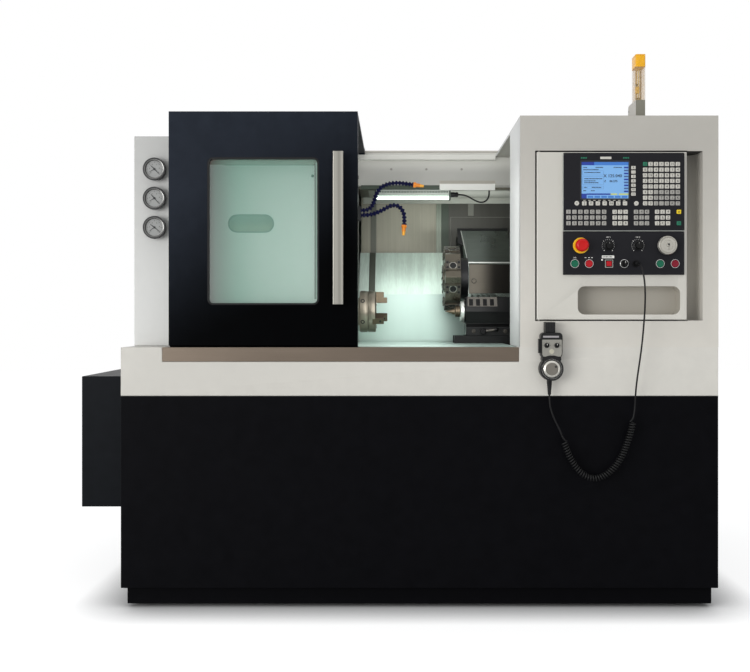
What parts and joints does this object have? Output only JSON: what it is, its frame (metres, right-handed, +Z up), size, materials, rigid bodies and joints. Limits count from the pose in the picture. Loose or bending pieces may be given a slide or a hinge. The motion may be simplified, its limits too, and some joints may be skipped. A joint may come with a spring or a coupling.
{
  "type": "cnc turning lathe",
  "caption": "Enclosed slant-bed turning lathe with a sliding door, swing-out control box, indexing turret, chuck, tailstock and hand pendant.",
  "frame": {"origin": "on the floor, at the centre of the four anchor holes in the feet", "axes": "+X to the right along the spindle from the headstock to the tailstock, +Y to the back, +Z up"},
  "size_m": [2.262, 1.5835, 1.918],
  "materials": {
    "black_paint": "fine textured satin",
    "white_paint": "satin powder coat",
    "brushed_steel": "brushed",
    "machined_steel": "turned and ground",
    "cast_iron": "painted casting",
    "door_pane": "tinted laminated",
    "gauge_face": "black case",
    "lamp_metal": "anodised",
    "black_rubber": "matt",
    "brass": "machined",
    "hose_blue": "moulded",
    "nozzle_orange": "moulded",
    "black_plastic": "fine grain",
    "screen_glass": "glossy screen",
    "legend": "printed plate",
    "red_plastic": "moulded",
    "green_plastic": "moulded",
    "turned_aluminium": "turned",
    "tower_paint": "grey",
    "tower_clear": "clear moulded"
  },
  "bodies": {
    "machine": {"floor_feet": "cast_iron", "base_skirt": "black_paint", "deck_tray": "white_paint", "sill_strip": "brushed_steel", "left_cover": "white_paint", "gauge_cases": "gauge_face", "rear_housing": "white_paint", "rear_beam": "white_paint", "control_cabinet": "white_paint", "motor_cover": "black_paint", "wall_liner": "brushed_steel", "slant_bed": "cast_iron", "tailstock_way": "cast_iron", "headstock": "cast_iron", "work_lamp": "lamp_metal", "lamp_cable": "black_rubber", "coolant_manifold": "brass", "coolant_hoses": "hose_blue", "hose_nozzles": "nozzle_orange", "pendant_holder": "black_plastic", "pendant_body": "black_plastic", "tower_base": "tower_paint", "tower_lens": "tower_clear"},
    "door": {"door_frame": "black_paint", "door_glass": "door_pane", "door_handle": "brushed_steel"},
    "swing_box": {"control_box": "white_paint", "control_unit": "black_plastic", "display": "screen_glass", "operator_panel": "black_plastic", "legend_plates": "legend", "cord_gland": "black_rubber", "cord_upper": "black_rubber", "cord_coil": "black_rubber", "cord_lower": "black_rubber"},
    "stop_cap": {"stop_button": "red_plastic"},
    "spindle_override": {"spindle_knob": "black_plastic"},
    "feed_override": {"feed_knob": "black_plastic"},
    "key_lock": {"key_switch": "black_plastic"},
    "start_cap": {"start_button": "green_plastic"},
    "halt_cap": {"halt_button": "red_plastic"},
    "reset_cap": {"reset_button": "red_plastic"},
    "clamp_cap": {"clamp_button": "green_plastic"},
    "light_cap": {"light_button": "red_plastic"},
    "wheel": {"handwheel": "turned_aluminium"},
    "spindle_line": {"spindle": "machined_steel", "chuck_body": "machined_steel"},
    "jaw_a": {"chuck_jaw_1": "machined_steel"},
    "jaw_b": {"chuck_jaw_2": "machined_steel"},
    "jaw_c": {"chuck_jaw_3": "machined_steel"},
    "saddle": {"carriage": "cast_iron"},
    "cross_slide": {"turret_slide": "cast_iron"},
    "turret": {"turret_disc": "machined_steel"},
    "tailstock": {"tailstock_body": "cast_iron"},
    "quill": {"tailstock_quill": "machined_steel"},
    "centre": {"live_centre": "machined_steel"},
    "pendant_wheel": {"pendant_dial": "turned_aluminium"},
    "axis_selector": {"axis_knob": "black_plastic"},
    "step_selector": {"step_knob": "black_plastic"},
    "enable_cap": {"enable_button": "black_plastic"}
  },
  "joints": [
    {"name": "door_slide", "type": "slide", "parent": "machine", "child": "door", "axis": [1, 0, 0], "range_m": [0, 0.55]},
    {"name": "box_swing", "type": "hinge", "parent": "machine", "child": "swing_box", "pos_m": [0.4105, -0.741, 1.2785], "axis": [0, 0, -1], "range_deg": [0, 90]},
    {"name": "spindle_spin", "type": "hinge", "parent": "machine", "child": "spindle_line", "pos_m": [-0.2, -0.188, 1.022], "axis": [1, 0, 0], "continuous": true},
    {"name": "jaw_slide_a", "type": "slide", "parent": "spindle_line", "child": "jaw_a", "axis": [0, 0, 1], "range_m": [-0.005, 0.005]},
    {"name": "jaw_slide_b", "type": "slide", "parent": "spindle_line", "child": "jaw_b", "axis": [0, -0.866, -0.5], "range_m": [-0.005, 0.005]},
    {"name": "jaw_slide_c", "type": "slide", "parent": "spindle_line", "child": "jaw_c", "axis": [0, 0.866, -0.5], "range_m": [-0.005, 0.005]},
    {"name": "saddle_slide", "type": "slide", "parent": "machine", "child": "saddle", "axis": [1, 0, 0], "range_m": [-0.15, 0.25]},
    {"name": "cross_travel", "type": "slide", "parent": "saddle", "child": "cross_slide", "axis": [0, 0.7071, 0.7071], "range_m": [-0.02, 0.12]},
    {"name": "turret_index", "type": "hinge", "parent": "cross_slide", "child": "turret", "pos_m": [0.1495, -0.05011, 1.15989], "axis": [1, 0, 0], "continuous": true},
    {"name": "tailstock_travel", "type": "slide", "parent": "machine", "child": "tailstock", "axis": [1, 0, 0], "range_m": [-0.1, 0.3]},
    {"name": "quill_travel", "type": "slide", "parent": "tailstock", "child": "quill", "axis": [-1, 0, 0], "range_m": [0, 0.06]},
    {"name": "centre_spin", "type": "hinge", "parent": "quill", "child": "centre", "pos_m": [0.15, -0.188, 1.022], "axis": [1, 0, 0], "continuous": true},
    {"name": "stop_press", "type": "slide", "parent": "swing_box", "child": "stop_cap", "axis": [0, 1, 0], "range_m": [0, 0.005], "stiffness_N_per_m": 400},
    {"name": "start_press", "type": "slide", "parent": "swing_box", "child": "start_cap", "axis": [0, 1, 0], "range_m": [0, 0.003], "stiffness_N_per_m": 400},
    {"name": "halt_press", "type": "slide", "parent": "swing_box", "child": "halt_cap", "axis": [0, 1, 0], "range_m": [0, 0.003], "stiffness_N_per_m": 400},
    {"name": "reset_press", "type": "slide", "parent": "swing_box", "child": "reset_cap", "axis": [0, 1, 0], "range_m": [0, 0.003], "stiffness_N_per_m": 400},
    {"name": "clamp_press", "type": "slide", "parent": "swing_box", "child": "clamp_cap", "axis": [0, 1, 0], "range_m": [0, 0.003], "stiffness_N_per_m": 400},
    {"name": "light_press", "type": "slide", "parent": "swing_box", "child": "light_cap", "axis": [0, 1, 0], "range_m": [0, 0.003], "stiffness_N_per_m": 400},
    {"name": "spindle_override_turn", "type": "hinge", "parent": "swing_box", "child": "spindle_override", "pos_m": [0.6455, -0.758, 1.2445], "axis": [0, 1, 0], "range_deg": [-120, 120]},
    {"name": "feed_override_turn", "type": "hinge", "parent": "swing_box", "child": "feed_override", "pos_m": [0.7465, -0.758, 1.2445], "axis": [0, 1, 0], "range_deg": [-150, 150]},
    {"name": "key_turn", "type": "hinge", "parent": "swing_box", "child": "key_lock", "pos_m": [0.6995, -0.758, 1.1825], "axis": [0, 1, 0], "range_deg": [0, 90]},
    {"name": "wheel_turn", "type": "hinge", "parent": "swing_box", "child": "wheel", "pos_m": [0.8445, -0.758, 1.2445], "axis": [0, 1, 0], "continuous": true},
    {"name": "pendant_wheel_turn", "type": "hinge", "parent": "machine", "child": "pendant_wheel", "pos_m": [0.446, -0.798, 0.824], "axis": [0, 1, 0], "continuous": true},
    {"name": "axis_selector_turn", "type": "hinge", "parent": "machine", "child": "axis_selector", "pos_m": [0.429, -0.798, 0.904], "axis": [0, 1, 0], "range_deg": [-60, 60]},
    {"name": "step_selector_turn", "type": "hinge", "parent": "machine", "child": "step_selector", "pos_m": [0.463, -0.798, 0.904], "axis": [0, 1, 0], "range_deg": [-60, 60]},
    {"name": "enable_press", "type": "slide", "parent": "machine", "child": "enable_cap", "axis": [1, 0, 0], "range_m": [0, 0.003], "stiffness_N_per_m": 400}
  ],
  "couplings": [
    {"joint": "jaw_slide_b", "follows": "jaw_slide_a", "ratio": 1},
    {"joint": "jaw_slide_c", "follows": "jaw_slide_a", "ratio": 1}
  ]
}
